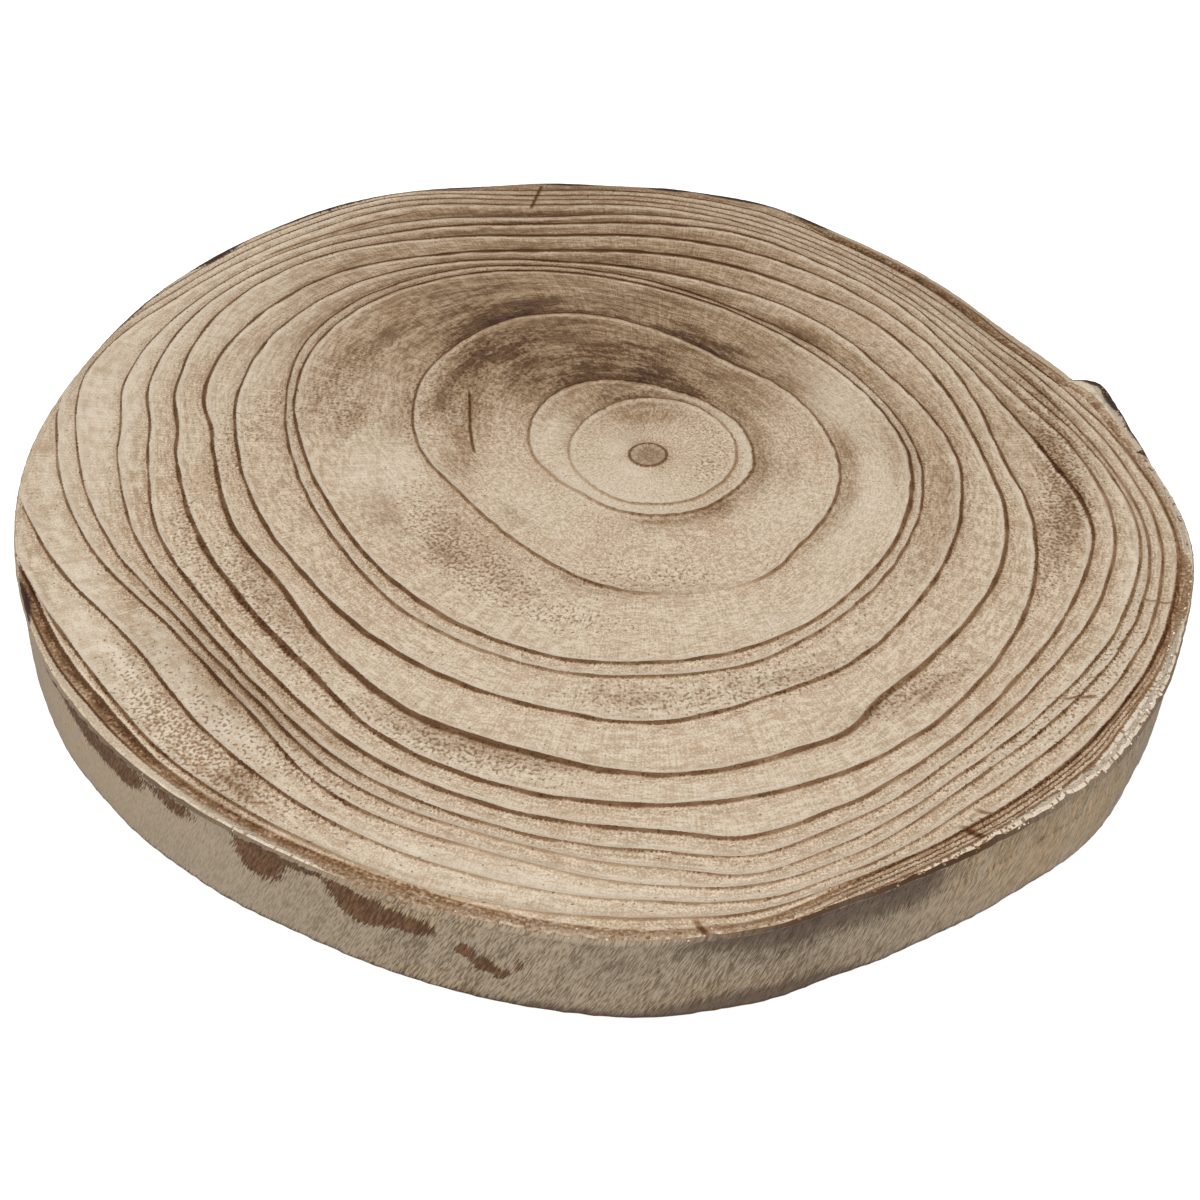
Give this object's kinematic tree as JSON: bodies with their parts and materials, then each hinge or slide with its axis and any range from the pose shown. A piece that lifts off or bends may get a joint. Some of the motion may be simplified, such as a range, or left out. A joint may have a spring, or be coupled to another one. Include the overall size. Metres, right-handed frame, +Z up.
{
  "type": "wood slice",
  "caption": "Round natural wood slice with raised growth rings on its brushed face, a stripped bark wall and a flat base.",
  "frame": {"origin": "under the middle of the slice's bounding box, on the surface that it lies on", "axes": "+Z up, from the sawn base to the brushed cut face; +X towards the side with the narrow years and the flap of bark; +Y towards the side with the scorch beside the pith"},
  "size_m": [0.3013, 0.3055, 0.0255],
  "materials": {
    "wood": "brushed and lightly scorched, matt"
  },
  "bodies": {
    "root": {"wood_slice": "wood"}
  },
  "joints": []
}
